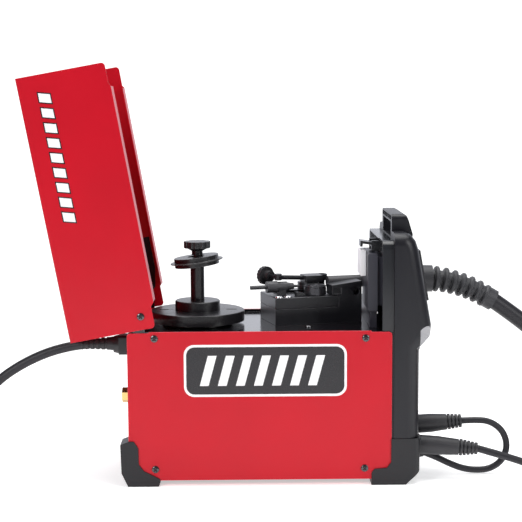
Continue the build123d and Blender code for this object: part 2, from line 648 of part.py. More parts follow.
def heat_sink():
    sink = brick(-90, 30, -62.4, -56, 16, 84)
    for k in range(9):
        z = 18 + 7.8 * k
        sink += brick(-90, 30, -57, -26, z, z + 2.0)
    return sink


def gas_fittings():
    """The hose nipple outside the rear panel and the solenoid valve behind it."""
    x = -CASE_HALF_LENGTH
    hexagon = Plane(origin=(x - 8.6, GAS_Y, GAS_Z), z_dir=(1, 0, 0)) * RegularPolygon(8.6, 6)
    nut = extrude(hexagon, 8.6)
    nut += rod(5.0, (x - 1, GAS_Y, GAS_Z), (x + 12, GAS_Y, GAS_Z))
    nut -= rod(3.0, (x - 10, GAS_Y, GAS_Z), (x + 13, GAS_Y, GAS_Z))
    valve = brick(x + 12, x + 38, GAS_Y - 11, GAS_Y + 11, GAS_Z - 12, GAS_Z + 8)
    return nut, valve + disc(9.0, x + 26, GAS_Y, GAS_Z + 8, GAS_Z + 32)


def power_rocker():
    x = -CASE_HALF_LENGTH
    face = [(x - 3.2, -11), (x - 0.6, 0), (x - 0.6, 11), (x + 4, 11), (x + 9, 3), (x + 9, -3), (x + 4, -11)]
    outline = [(px, ROCKER_Z + pz) for px, pz in face]
    rocker = side_prism(outline, ROCKER_Y - 6.8, ROCKER_Y + 6.8)
    return rocker - rod(1.5 + RUNNING_GAP, (x + 4, ROCKER_Y - 8, ROCKER_Z), (x + 4, ROCKER_Y + 8, ROCKER_Z))


def rocker_frame():
    """The switch body behind the rear panel, with the pin that the rocker tips on."""
    x = -CASE_HALF_LENGTH + SHEET
    frame = brick(x, x + 22, ROCKER_Y - 9, ROCKER_Y + 9, ROCKER_Z - 15, ROCKER_Z + 15)
    frame -= brick(x - 1, x + 14, ROCKER_Y - 7.5, ROCKER_Y + 7.5, ROCKER_Z - 13.5, ROCKER_Z + 13.5)
    x = -CASE_HALF_LENGTH + 4
    return frame + rod(1.5, (x, ROCKER_Y - 8.5, ROCKER_Z), (x, ROCKER_Y + 8.5, ROCKER_Z))


# ---------------------------------------------------------------- sockets, plugs and glands
def panel_sockets():
    solids = []
    front = LOWER_FACE_X + 0.5
    for y, z in (UPPER_PLUG, LOWER_PLUG):
        socket = rod(11.6, (front, y, z), (front + 2.5, y, z)) + rod(9.0, (front - 22, y, z), (front, y, z))
        solids.append(socket)
    y, z = LEAD_HOLE
    grommet = rod(4.4, (front - 5, y, z), (front, y, z)) + cone(6.4, 5.0, (front, y, z), (front + 9, y, z))
    solids.append(grommet)
    return solids


def twist_plug(start, end, ribs, lengths, rib_radii):
    """A cable plug: a round body, a waist and ribs that grip the cable."""
    axis = (Vector(*end) - Vector(*start)).normalized()
    base = Vector(*start)

    def along(s):
        return tuple(base + axis * s)

    body_end, total = lengths
    plug = cone(10.4, 10.4, along(0), along(body_end * 0.45))
    plug += cone(10.4, 8.8, along(body_end * 0.45), along(body_end))
    plug += cone(7.0, 5.2, along(body_end), along(total))
    step = (total - body_end) / ribs
    for k in range(ribs):
        radius = rib_radii[0] + (rib_radii[1] - rib_radii[0]) * k / (ribs - 1)
        plug += rod(radius, along(body_end + step * (k + 0.35)), along(body_end + step * (k + 0.95)))
    return plug


def power_gland():
    x = -CASE_HALF_LENGTH
    block = brick(x - 11.5, x, GLAND_Y - 10.6, GLAND_Y + 10.6, GLAND_Z - 10.6, GLAND_Z + 10.6)
    block = round_corners(block, Axis.X, 3.0, lambda c: True)
    block += cone(10.6, 9.0, (x - 11.5, GLAND_Y, GLAND_Z), (x - 17.5, GLAND_Y, GLAND_Z))
    return block + rod(7.9, (x, GLAND_Y, GLAND_Z), (x + 8, GLAND_Y, GLAND_Z))


BOOT_ROUTE = [(184.0, GUN_Y, 209.9), (214.0, GUN_Y, 209.2), (247.0, GUN_Y, 199.4), (276.0, GUN_Y, 183.0)]


def gun_boot():
    """The ribbed bend relief: a base, seven rings and an end collar on a tapered core."""
    path, _ = cord_path(BOOT_ROUTE)
    section = Plane(origin=path @ 0, z_dir=path % 0) * Circle(10.4)
    boot = sweep(section, path=path)
    first, pitch, rings, slope = 24.5, 10.1, 7, 1.5
    for k in range(rings):
        share = (first + pitch * k) / path.length
        middle, way = path @ share, path % share
        radius = 15.0 - 1.9 * k / rings
        for side in (-1, 1):
            flat, edge = middle + way * (side * 1.3), middle + way * (side * 2.8)
            boot += cone(radius, radius - slope, tuple(flat), tuple(edge))
            boot += rod(radius, tuple(middle - way * (side * 0.1)), tuple(flat))
    boot += rod(15.6, (184, GUN_Y, 209.9), (203.5, GUN_Y, 209.5))
    end, way = path @ 1, path % 1
    return boot + rod(12.4, tuple(end - way * 10.5), tuple(end))


# ---------------------------------------------------------------- cords
GUN_COIL = (523.0, 5.0)
GUN_COIL_R = 95.0
GUN_ROUTE = [
    (276.0, 49.0, 183.0),
    (311.0, 50.0, 158.5),
    (344.0, 55.0, 129.0),
    (377.0, 66.0, 97.0),
    (410.0, 82.0, 63.0),
    (443.0, 98.0, 33.0),
    (482.0, 107.5, 14.0),
    (521.0, 109.4, 9.8),
]
POLARITY_ROUTE = [
    (226.5, -36.0, 59.5),
    (242.0, -36.2, 60.4),
    (258.3, -37.0, 59.0),
    (272.5, -38.5, 48.7),
    (277.9, -40.0, 32.0),
    (272.5, -41.5, 15.3),
    (258.3, -42.5, 5.6),
    (241.5, -43.0, 4.4),
    (226.0, -43.0, 6.8),
    (211.0, -42.8, 12.9),
    (197.0, -42.4, 20.1),
    (183.0, -42.0, 25.5),
]
WORK_COIL = (357.0, -2.0)
WORK_COIL_R = 40.0
WORK_ROUTE = [
    (240.5, -61.0, 33.9),
    (262.0, -63.0, 28.0),
    (286.0, -65.5, 21.0),
    (309.0, -65.5, 12.4),
    (332.0, -58.8, 6.0),
    (355.0, -50.2, 4.4),
]
POWER_COIL = (-378.0, 7.0)
POWER_COIL_R = 52.0
POWER_ROUTE = [
    (-160.5, -45.0, 151.8),
    (-182.0, -45.0, 152.0),
    (-208.0, -45.0, 149.2),
    (-235.0, -45.0, 142.0),
    (-262.0, -45.0, 129.5),
    (-288.0, -45.5, 112.5),
    (-309.0, -46.5, 89.5),
    (-325.0, -48.0, 61.5),
    (-340.0, -49.5, 33.0),
    (-360.0, -50.3, 11.0),
]


# ---------------------------------------------------------------- gun, clamp and mains plug
GUN_PLACE = Location((498.4, -86.8, 51.4), (0, 0, 165))
TRIGGER_PIN = (86.5, -9.0)


def gun_handle():
    """Two moulded halves, split along the middle, with a trigger pocket below."""
    outline = [(0, -11), (14, -13), (60, -14), (96, -12), (118, -10)]
    outline += [(118, 10), (96, 13), (60, 15), (14, 14), (0, 11)]
    face = make_face(Polyline(*outline, close=True))
    halves = []
    for sign in (-1, 1):
        half = extrude(face, sign * 13.0)
        outer = half.faces().sort_by(Axis.Z)[0 if sign < 0 else -1]
        half = fillet(outer.edges(), 4.0)
        half -= brick(58, 92, -20, -3.5, -6, 6)
        half -= rod(8.0, (108, 0, 0), (125, 0, 0))
        half += rod(1.4, (*TRIGGER_PIN, 0), (*TRIGGER_PIN, sign * 6.5))
        halves.append(GUN_PLACE * half)
    return halves


def gun_trigger():
    outline = [(61, -19.5), (60, -15.5), (64, -11), (81, -10), (84, -6), (90, -6), (90.5, -13), (80, -16)]
    blade = extrude(make_face(Polyline(*outline, close=True)), 5.5, both=True)
    blade -= rod(1.4 + RUNNING_GAP, (*TRIGGER_PIN, -8), (*TRIGGER_PIN, 8))
    return GUN_PLACE * blade


def gun_neck():
    path = FilletPolyline((108.2, 0, 0), (136, 0, 0), (158, -20, 0), radius=22.0)
    neck = sweep(Plane(origin=path @ 0, z_dir=path % 0) * Circle(7.8), path=path)
    return GUN_PLACE * neck


def gun_nozzle():
    way = Vector(22, -20, 0).normalized()
    base = Vector(158, -20, 0)
    nozzle = cone(9.2, 7.6, tuple(base - way * 6), tuple(base + way * 34))
    return GUN_PLACE * (nozzle - cone(7.8, 6.2, tuple(base - way * 7), tuple(base + way * 35)))


def contact_tip():
    way = Vector(22, -20, 0).normalized()
    base = Vector(158, -20, 0)
    tip = rod(3.4, tuple(base), tuple(base + way * 24)) - rod(0.5, tuple(base), tuple(base + way * 25))
    return GUN_PLACE * tip


CLAMP_PLACE = Location((393.0, -1.0, 32.6), (0, 0, 99))
CLAMP_PIVOT = (50.0, 2.0)


def clamp_lower_jaw():
    """The cable side: handle, pivot ears and the lower tooth bar."""
    outline = [(0, -7), (44, -9), (60, -12), (104, -12), (108, -6), (100, -2.5), (70, -3.5), (56, -3.5)]
    outline += [(44, -3.5), (38, -1.5), (0, -1.5)]
    jaw = extrude(make_face(Polyline(*outline, close=True)), 8.0, both=True)
    ear = Polyline((42, -9), (58, -9), (56, 5), (44, 5), close=True)
    for z in (-8.0, 5.0):
        jaw += extrude(Plane(origin=(0, 0, z)) * make_face(ear), 3.0)
    jaw -= rod(2.0, (*CLAMP_PIVOT, -10), (*CLAMP_PIVOT, 10))
    return CLAMP_PLACE * jaw


def clamp_upper_jaw():
    outline = [(4, 14), (44, 4), (46, -1.0), (54, -1.0), (60, 0.5), (72, -1.8), (100, -1.2), (108, 2.5)]
    outline += [(102, 9), (60, 9), (46, 10), (6, 22)]
    jaw = extrude(make_face(Polyline(*outline, close=True)), 4.6, both=True)
    jaw -= rod(2.0 + RUNNING_GAP, (*CLAMP_PIVOT, -10), (*CLAMP_PIVOT, 10))
    return CLAMP_PLACE * jaw


def clamp_pin():
    return CLAMP_PLACE * rod(2.0, (*CLAMP_PIVOT, -8.5), (*CLAMP_PIVOT, 8.5))


def mains_plug():
    """A moulded three-blade plug lying on the coil."""
    x0, y0, z0 = POWER_COIL[0] + 8.0, POWER_COIL[1] + POWER_COIL_R, 44.0
    body = brick(x0 + 14, x0 + 44, y0 - 12.5, y0 + 12.5, z0 - 12, z0 + 12)
    body = fillet(body.edges(), 4.0)
    body += cone(6.0, 9.0, (x0, y0, z0), (x0 + 16, y0, z0))
    blades = [brick(x0 + 43, x0 + 60, y0 + dy - 0.8, y0 + dy + 0.8, z0 - 1, z0 + 5.4) for dy in (-6.4, 6.4)]
    ground = rod(2.4, (x0 + 43, y0, z0 - 7.5), (x0 + 62, y0, z0 - 7.5))
    return body, *blades, ground


def build():
    add("base_pan", base_pan())
    add("side_panel_near", side_panel(-1))
    add("side_panel_far", side_panel(1))
    add("rear_panel", rear_panel())
    add("deck", deck())
    add("rear_feet", *rear_feet())
    add("front_foot", front_foot())
    add("front_bezel", front_bezel())
    add("control_fascia", control_fascia())
    add("voltage_knob", control_knob(KNOB_YS[0]))
    add("wire_speed_knob", control_knob(KNOB_YS[1]))
    add("lid_seat_rim", lid_seat_rim())
    add("lid_latch", lid_latch())
    add("control_box", control_box())
    add("lid_shell", lid_shell())
    add("hinge_pins", *hinge_pins())
    add("case_screws", *case_screws())
    add("spindle_post", spindle_post())
    add("spool_hub", spool_hub())
    add("hold_down_cap", hold_down_cap())
    add("hold_down_knob", hold_down_knob())
    add("drive_housing", drive_housing())
    add("drive_cover", drive_cover())
    add("wire_guides", *wire_guides())
    add("drive_gear", drive_gear())
    add("motor_pinion", motor_pinion())
    add("drive_motor", drive_motor())
    add("drive_roll", drive_roll())
    add("idler_arm", idler_arm())
    add("idler_roll", idler_roll())
    add("tension_arm", tension_arm())
    add("tension_knob", tension_knob())
    add("fan_frame", fan_frame())
    add("fan_rotor", fan_rotor())
    add("main_board", main_board())
    add("heat_sink", heat_sink())
    add("gas_fittings", *gas_fittings())
    add("power_rocker", power_rocker())
    add("rocker_frame", rocker_frame())
    add("panel_sockets", *panel_sockets())
    upper_start = (LOWER_FACE_X + 3.0, *UPPER_PLUG)
    add("upper_plug", twist_plug(upper_start, POLARITY_ROUTE[0], 4, (33.0, 49.6), (8.8, 7.4)))
    lower_start = (LOWER_FACE_X + 3.0, *LOWER_PLUG)
    add("lower_plug", twist_plug(lower_start, WORK_ROUTE[0], 5, (43.0, 64.0), (9.2, 6.6)))
    add("power_gland", power_gland())
    add("gun_boot", gun_boot())
    add("gun_cable", cord_tube("gun_cable", GUN_ROUTE, GUN_CABLE_D))
    add("gun_cable_coil", coil_ring(GUN_COIL, GUN_COIL_R, 38.0, 38.0))
    add("polarity_lead", cord_tube("polarity_lead", POLARITY_ROUTE, LEAD_D))
    add("work_cable", cord_tube("work_cable", WORK_ROUTE, WORK_CABLE_D))
    add("work_cable_coil", coil_ring(WORK_COIL, WORK_COIL_R, 24.0, 24.0))
    add("power_cord", cord_tube("power_cord", POWER_ROUTE, POWER_CORD_D))
    add("power_cord_coil", coil_ring(POWER_COIL, POWER_COIL_R, 21.0, 31.0))
    add("mains_plug", *mains_plug())
    add("gun_handle", *gun_handle())
    add("gun_trigger", gun_trigger())
    add("gun_neck", gun_neck())
    add("gun_nozzle", gun_nozzle())
    add("contact_tip", contact_tip())
    add("clamp_lower_jaw", clamp_lower_jaw())
    add("clamp_upper_jaw", clamp_upper_jaw())
    add("clamp_pin", clamp_pin())


build()
os.makedirs("parts", exist_ok=True)
for part_name, shape in PARTS.items():
    export_step(shape, f"parts/{part_name}.step")
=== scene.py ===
"""Looks of a wire-feed welding machine with its lid open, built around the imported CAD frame.

Metres, in the frame's own axes: +X is the front with the controls, +Y the far side, +Z up.
"""
import json
import math

import bmesh
import bpy
from mathutils import Matrix, Vector

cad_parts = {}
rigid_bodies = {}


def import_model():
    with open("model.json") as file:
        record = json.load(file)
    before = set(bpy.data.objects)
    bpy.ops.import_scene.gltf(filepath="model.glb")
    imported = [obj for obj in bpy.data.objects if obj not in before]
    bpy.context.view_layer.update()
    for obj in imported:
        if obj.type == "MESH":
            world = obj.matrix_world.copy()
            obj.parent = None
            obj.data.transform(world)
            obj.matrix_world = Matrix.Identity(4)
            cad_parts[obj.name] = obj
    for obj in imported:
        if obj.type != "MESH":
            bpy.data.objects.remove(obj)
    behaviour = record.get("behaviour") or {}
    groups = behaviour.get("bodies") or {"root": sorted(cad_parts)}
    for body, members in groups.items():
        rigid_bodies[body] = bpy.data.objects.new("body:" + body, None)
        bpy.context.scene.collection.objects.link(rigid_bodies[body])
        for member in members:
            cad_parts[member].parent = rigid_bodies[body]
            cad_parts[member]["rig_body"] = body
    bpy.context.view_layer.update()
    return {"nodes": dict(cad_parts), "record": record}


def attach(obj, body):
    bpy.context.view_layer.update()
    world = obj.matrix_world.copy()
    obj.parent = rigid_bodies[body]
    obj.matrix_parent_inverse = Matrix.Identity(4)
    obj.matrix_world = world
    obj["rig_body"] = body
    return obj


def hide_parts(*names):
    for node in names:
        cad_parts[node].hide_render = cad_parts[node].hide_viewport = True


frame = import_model()
NODES = frame["nodes"]

MM = 0.001
JOINTS = {joint["name"]: joint for joint in frame["record"]["behaviour"]["joints"]}
HINGE = Vector(JOINTS["lid_hinge"]["pos_m"])
LID_ANGLE = math.radians(JOINTS["lid_hinge"]["range_deg"][1])
SIDE_Y = 0.0825
DRIVE_CORNER = (18.4, -23.4)
DRIVE_YAW = math.radians(15)
CHIN_OUTWARD = Vector((0.558, 0.650, -0.517))


# ---------------------------------------------------------------- materials
def new_material(name):
    """An empty material with its nodes, its links and its shader."""
    mat = bpy.data.materials.new(name)
    mat.use_nodes = True
    nodes = mat.node_tree.nodes
    return mat, nodes, mat.node_tree.links, nodes["Principled BSDF"]


def noise_node(nodes, links, coords, scale, detail=3.0, stretch=(1.0, 1.0, 1.0)):
    """A noise texture in the frame's own metres, drawn out along an axis where stretch is small."""
    mapping = nodes.new("ShaderNodeMapping")
    mapping.inputs["Scale"].default_value = stretch
    links.new(coords, mapping.inputs["Vector"])
    tex = nodes.new("ShaderNodeTexNoise")
    tex.inputs["Scale"].default_value = scale
    tex.inputs["Detail"].default_value = detail
    links.new(mapping.outputs["Vector"], tex.inputs["Vector"])
    return tex.outputs["Fac"]


def spread(nodes, links, value, low, high):
    """Stretch a noise value's middle range over low to high."""
    ramp = nodes.new("ShaderNodeMapRange")
    ramp.inputs["From Min"].default_value = 0.3
    ramp.inputs["From Max"].default_value = 0.7
    ramp.inputs["To Min"].default_value = low
    ramp.inputs["To Max"].default_value = high
    links.new(value, ramp.inputs["Value"])
    return ramp.outputs["Result"]


def surface(
    name,
    color,
    rough,
    metallic=0.0,
    coat=0.0,
    vary=0.08,
    rough_vary=0.05,
    patch=14.0,
    grain=900.0,
    bump=0.12,
    depth=0.0002,
    stretch=(1.0, 1.0, 1.0),
    sheen=0.0,
    specular=0.5,
):
    """A finished surface: patchy colour, uneven gloss, and a grain in its bump."""
    mat, nodes, links, bsdf = new_material(name)
    coords = nodes.new("ShaderNodeTexCoord").outputs["Object"]
    patches = noise_node(nodes, links, coords, patch)
    speckle = noise_node(nodes, links, coords, grain, 4.0, stretch)
    mix = nodes.new("ShaderNodeMix")
    mix.data_type = "RGBA"
    dark = [c * (1 - vary) for c in color]
    light = [min(1.0, c * (1 + vary)) for c in color]
    mix.inputs["A"].default_value = (*dark, 1)
    mix.inputs["B"].default_value = (*light, 1)
    links.new(spread(nodes, links, patches, 0.0, 1.0), mix.inputs["Factor"])
    links.new(mix.outputs["Result"], bsdf.inputs["Base Color"])
    links.new(
        spread(nodes, links, speckle, max(0.02, rough - rough_vary), min(1.0, rough + rough_vary)),
        bsdf.inputs["Roughness"],
    )
    relief = nodes.new("ShaderNodeBump")
    relief.inputs["Strength"].default_value = bump
    relief.inputs["Distance"].default_value = depth
    links.new(speckle, relief.inputs["Height"])
    links.new(relief.outputs["Normal"], bsdf.inputs["Normal"])
    bsdf.inputs["Metallic"].default_value = metallic
    bsdf.inputs["Coat Weight"].default_value = coat
    bsdf.inputs["Coat Roughness"].default_value = 0.12
    bsdf.inputs["Sheen Weight"].default_value = sheen
    bsdf.inputs["Specular IOR Level"].default_value = specular
    return mat


RED = (0.50, 0.0, 0.011)
ALONG_X = (0.1, 1.0, 1.0)
MATS = {
    "red": surface(
        "red_powder_coat",
        RED,
        0.36,
        coat=0.06,
        vary=0.04,
        rough_vary=0.02,
        grain=700.0,
        bump=0.06,
        specular=0.3,
    ),
    # Edge colour of the red coat, lighter and pinker: partly wear, partly a painted highlight where the
    # rounded edges catch the light.
    "red_wear_highlight_edge": surface("red_coat_wear_highlight_edge", (0.72, 0.045, 0.07), 0.26, coat=0.35, vary=0.05),
    "gloss_black": surface(
        "gloss_black_coat", (0.007, 0.006, 0.008), 0.16, coat=0.4, rough_vary=0.02, grain=700.0, bump=0.04
    ),
    # Lighter edge colour of the gloss black coat: partly wear, partly a painted highlight.
    "gloss_wear_highlight_edge": surface("gloss_coat_wear_highlight_edge", (0.03, 0.03, 0.034), 0.2, coat=0.5),
    "shell": surface(
        "textured_black_plastic", (0.007, 0.007, 0.0105), 0.38, grain=1500.0, bump=0.18, specular=0.4
    ),
    # Lighter edge colour of the black shell: partly wear, partly a painted highlight.
    "shell_wear_highlight_edge": surface("plastic_wear_highlight_edge", (0.035, 0.035, 0.042), 0.32, grain=1500.0),
    "foot": surface(
        "moulded_foot_plastic", (0.010, 0.010, 0.0125), 0.42, grain=1300.0, bump=0.2, specular=0.4
    ),
    "rim": surface("glossy_rim_plastic", (0.016, 0.017, 0.02), 0.2, grain=700.0, bump=0.05),
    "fascia": surface("satin_overlay", (0.02, 0.02, 0.024), 0.3, grain=1600.0, bump=0.06),
    "grey": surface("dark_grey_plastic", (0.04, 0.04, 0.055), 0.42, grain=1500.0, bump=0.15),
    "hub": surface("nylon_hub", (0.011, 0.0105, 0.0125), 0.3, grain=1100.0, bump=0.08),
    # Lighter edge colour of the nylon hub: partly wear, partly a painted highlight.
    "hub_wear_highlight_edge": surface("nylon_hub_wear_highlight_edge", (0.07, 0.07, 0.072), 0.28),
    "knob": surface("matt_knob_plastic", (0.018, 0.0175, 0.02), 0.42, grain=1400.0, bump=0.2),
    "drive": surface("drive_nylon", (0.010, 0.010, 0.013), 0.32, grain=1300.0, bump=0.16),
    # Lighter edge colour of the drive nylon: partly wear, partly a painted highlight.
    "drive_wear_highlight_edge": surface("drive_nylon_wear_highlight_edge", (0.05, 0.05, 0.056), 0.3, grain=1300.0),
    "guide": surface("guide_plastic", (0.045, 0.045, 0.05), 0.45, grain=1600.0, bump=0.2),
    "rubber": surface("cable_rubber", (0.014, 0.0135, 0.0175), 0.46, grain=800.0, bump=0.1, specular=0.4),
    "boot": surface("boot_rubber", (0.03, 0.03, 0.035), 0.52, grain=1300.0, bump=0.28, sheen=0.1),
    "plug": surface("plug_rubber", (0.02, 0.0195, 0.023), 0.5, grain=1500.0, bump=0.32),
    "roll": surface(
        "blued_roll_steel", (0.07, 0.07, 0.078), 0.3, metallic=0.7, grain=500.0, stretch=(1.0, 1.0, 9.0)
    ),
    "steel": surface(
        "turned_steel", (0.55, 0.55, 0.56), 0.3, metallic=1.0, grain=500.0, stretch=(1.0, 1.0, 9.0)
    ),
    "bright": surface("zinc_screw", (0.8, 0.8, 0.82), 0.22, metallic=1.0, grain=900.0),
    "black_screw": surface("black_zinc_screw", (0.10, 0.10, 0.105), 0.2, metallic=0.9, grain=1200.0),
    "brass": surface(
        "machined_brass", (0.78, 0.50, 0.20), 0.24, metallic=1.0, grain=500.0, stretch=(9.0, 1.0, 1.0)
    ),
    "copper": surface("nickel_copper", (0.75, 0.48, 0.34), 0.3, metallic=1.0, grain=600.0),
    "white": surface("white_ink", (0.86, 0.86, 0.87), 0.4, vary=0.02),
    # Black ink for print, also used as painted shade in the screws' cross recesses.
    "ink_and_recess_shade": surface("black_ink_and_recess_shade", (0.010, 0.009, 0.012), 0.3),
    "pale": surface("pale_cover_plastic", (0.9, 0.9, 0.92), 0.35, vary=0.02, grain=1200.0),
    "chin": surface("pale_chin_facet", (0.42, 0.42, 0.44), 0.3, grain=1500.0, bump=0.15),
    "board": surface("lacquered_board", (0.03, 0.16, 0.07), 0.35, grain=700.0),
    "alloy": surface("extruded_alloy", (0.7, 0.7, 0.72), 0.35, metallic=1.0, stretch=ALONG_X),
    "zinc": surface("plated_steel", (0.62, 0.56, 0.44), 0.32, metallic=1.0, grain=400.0),
    "fan": surface("fan_plastic", (0.02, 0.02, 0.022), 0.5, grain=1200.0),
    "gun": surface("gun_handle_plastic", (0.018, 0.018, 0.02), 0.45, grain=1500.0, bump=0.3),
    "liner": surface("black_foam_liner", (0.012, 0.012, 0.014), 0.8, grain=1800.0, bump=0.5, sheen=0.15),
}

NODE_FINISH = {
    "red": ["side_panel_near", "side_panel_far", "lid_shell"],
    "gloss_black": ["deck", "rear_panel", "base_pan"],
    "shell": ["front_bezel"],
    "foot": ["front_foot", "rear_feet"],
    "rim": ["lid_seat_rim", "lid_latch"],
    "fascia": ["control_fascia"],
    "grey": ["control_box"],
    "hub": ["spool_hub", "hold_down_cap", "spindle_post", "hold_down_knob"],
    "knob": [
        "voltage_knob",
        "wire_speed_knob",
        "power_rocker",
        "rocker_frame",
        "tension_knob",
        "power_gland",
    ],
    "drive": ["drive_housing", "drive_cover", "idler_arm", "tension_arm"],
    "guide": ["wire_guides"],
    "roll": ["drive_roll", "idler_roll"],
    "steel": ["drive_gear", "motor_pinion", "drive_motor"],
    "black_screw": ["case_screws", "hinge_pins", "clamp_pin"],
    "brass": ["gas_fittings"],
    "fan": ["fan_frame", "fan_rotor"],
    "board": ["main_board"],
    "alloy": ["heat_sink"],
    "plug": ["panel_sockets", "upper_plug", "lower_plug", "mains_plug", "gun_neck"],
    "boot": ["gun_boot"],
    "rubber": [
        "gun_cable",
        "gun_cable_coil",
        "work_cable",
        "work_cable_coil",
        "polarity_lead",
        "power_cord",
        "power_cord_coil",
    ],
    "gun": ["gun_handle", "gun_trigger"],
    "copper": ["gun_nozzle", "contact_tip"],
    "zinc": ["clamp_lower_jaw", "clamp_upper_jaw"],
}
FINISH = {node: mat for mat, nodes in NODE_FINISH.items() for node in nodes}
# The edge colour that each finish's rounded edges get: lighter, partly wear and partly a painted
# highlight.
WEAR_HIGHLIGHT_EDGE_OF = {
    "red": "red_wear_highlight_edge",
    "gloss_black": "gloss_wear_highlight_edge",
    "hub": "hub_wear_highlight_edge",
    "shell": "shell_wear_highlight_edge",
    "drive": "drive_wear_highlight_edge",
}
for node, finish in FINISH.items():
    NODES[node].data.materials.clear()
    NODES[node].data.materials.append(MATS[finish])


# ---------------------------------------------------------------- mesh helpers
def link(name, mesh, material=None):
    """A new object around a mesh, in the scene."""
    obj = bpy.data.objects.new(name, mesh)
    bpy.context.scene.collection.objects.link(obj)
    if material is not None:
        mesh.materials.append(MATS[material])
    return obj


def smooth(mesh, angle=32.0):
    """Shade a mesh smooth, apart from its edges sharper than an angle in degrees."""
    mesh.shade_smooth()
    mesh.set_sharp_from_angle(angle=math.radians(angle))


def bake_modifiers(obj):
    """Replace a piece's mesh by what its modifiers make of it."""
    graph = bpy.context.evaluated_depsgraph_get()
    mesh = bpy.data.meshes.new_from_object(obj.evaluated_get(graph))
    obj.modifiers.clear()
    obj.data = mesh
    return obj


def refine(node, bevel, angle=32.0):
    """A piece with the node's own shape, its flats cleaned and its hard edges rounded (bevel in mm). The
    rounded edges take a lighter edge colour: partly wear, partly a painted highlight.
    """
    finish = FINISH[node]
    # The edge colour is lighter than the surface: partly wear, partly a painted highlight on the rounded
    # edges.
    edge = WEAR_HIGHLIGHT_EDGE_OF.get(finish, finish)
    mesh = NODES[node].data.copy()
    mesh.materials.clear()
    bm = bmesh.new()
    bm.from_mesh(mesh)
    bmesh.ops.remove_doubles(bm, verts=bm.verts, dist=2e-6)
    bmesh.ops.dissolve_limit(bm, angle_limit=math.radians(0.4), verts=bm.verts, edges=bm.edges)
    bm.to_mesh(mesh)
    bm.free()
    piece = link(node + "_finish", mesh, finish)
    mesh.materials.append(MATS[edge])
    smooth(mesh, angle)
    mod = piece.modifiers.new("edges", "BEVEL")
    mod.harden_normals = True
    mod.width = bevel * MM
    mod.segments = 2
    mod.limit_method = "ANGLE"
    mod.angle_limit = math.radians(angle)
    mod.use_clamp_overlap = True
    # The bevel's faces take the lighter edge colour: wear and a painted highlight.
    mod.material = 1
    bake_modifiers(piece)
    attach(piece, NODES[node]["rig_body"])
    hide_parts(node)
    return piece


def solid_from(name, outline, low, high, place, material, bevel=0.0):
    """A prism over an outline, from low to high along the third axis, put in place by a function."""
    bm = bmesh.new()
    rings = [[bm.verts.new(place(x, y, z)) for x, y in outline] for z in (low, high)]
    bm.faces.new(rings[0][::-1])
    bm.faces.new(rings[1])
    count = len(outline)
    for k in range(count):
        after = (k + 1) % count
        bm.faces.new((rings[0][k], rings[0][after], rings[1][after], rings[1][k]))
    bmesh.ops.recalc_face_normals(bm, faces=bm.faces)
    mesh = bpy.data.meshes.new(name)
    bm.to_mesh(mesh)
    bm.free()
    piece = link(name, mesh, material)
    if bevel:
        mod = piece.modifiers.new("edges", "BEVEL")
        mod.width = bevel
        mod.segments = 2
        mod.limit_method = "ANGLE"
        bake_modifiers(piece)
    smooth(piece.data)
    return piece


def joined(name, pieces):
    """One mesh from several pieces, with their materials kept."""
    bm = bmesh.new()
    slots = []
    for piece in pieces:
        mesh = piece.data
        new_slot = []
        for mat in mesh.materials:
            if mat not in slots:
                slots.append(mat)
            new_slot.append(slots.index(mat))
        start = len(bm.faces)
        mesh.transform(piece.matrix_world)
        bm.from_mesh(mesh)
        bm.faces.ensure_lookup_table()
        for face in bm.faces[start:]:
            face.material_index = new_slot[min(face.material_index, len(new_slot) - 1)]
    mesh = bpy.data.meshes.new(name)
    bm.to_mesh(mesh)
    bm.free()
    for piece in pieces:
        bpy.data.objects.remove(piece)
    whole = link(name, mesh)
    for mat in slots:
        mesh.materials.append(mat)
    smooth(mesh)
    return whole


def rounded_outline(x0, x1, y0, y1, radius, steps=6):
    """A rectangle with round corners, as a list of points."""
    points = []
    corners = ((x1, y1, 0), (x0, y1, 90), (x0, y0, 180), (x1, y0, 270))
    for x, y, start in corners:
        cx = x - radius if x == x1 else x + radius
        cy = y - radius if y == y1 else y + radius
        for k in range(steps + 1):
            a = math.radians(start + 90 * k / steps)
            points.append((cx + radius * math.cos(a), cy + radius * math.sin(a)))
    return points


def frames_along(points):
    """A point, a direction and two cross axes at each point of a line."""
    rows = []
    side = None
    for k, here in enumerate(points):
        before = points[max(k - 1, 0)]
        after = points[min(k + 1, len(points) - 1)]
        way = (after - before).normalized()
        if side is None:
            side = way.orthogonal().normalized()
        side = (side - way * side.dot(way)).normalized()
        rows.append((here, way, side, way.cross(side)))
    return rows


def turned(name, stations, material, around=40):
    """A turned shape: a ring at each (centre, way, side, up, radius) station, closed at both ends."""
    bm = bmesh.new()
    rings = []
    for centre, way, side, up, radius in stations:
        ring = []
        for k in range(around):
            a = math.tau * k / around
            ring.append(bm.verts.new(centre + (side * math.cos(a) + up * math.sin(a)) * radius))
        rings.append(ring)
    for first, second in zip(rings, rings[1:]):
        for k in range(around):
            after = (k + 1) % around
            bm.faces.new((first[k], first[after], second[after], second[k]))
    bm.faces.new(rings[0][::-1])
    bm.faces.new(rings[-1])
    bmesh.ops.recalc_face_normals(bm, faces=bm.faces)
    mesh = bpy.data.meshes.new(name)
    bm.to_mesh(mesh)
    bm.free()
    piece = link(name, mesh, material)
    smooth(mesh, 40.0)
    return piece


def along_line(line, lengths, distance):
    """The row of a sampled line at a distance from its start."""
    for k in range(1, len(lengths)):
        if lengths[k] >= distance:
            share = (distance - lengths[k - 1]) / max(lengths[k] - lengths[k - 1], 1e-9)
            a, b = line[k - 1], line[k]
            return [a[j].lerp(b[j], share) for j in range(4)]
    return list(line[-1])


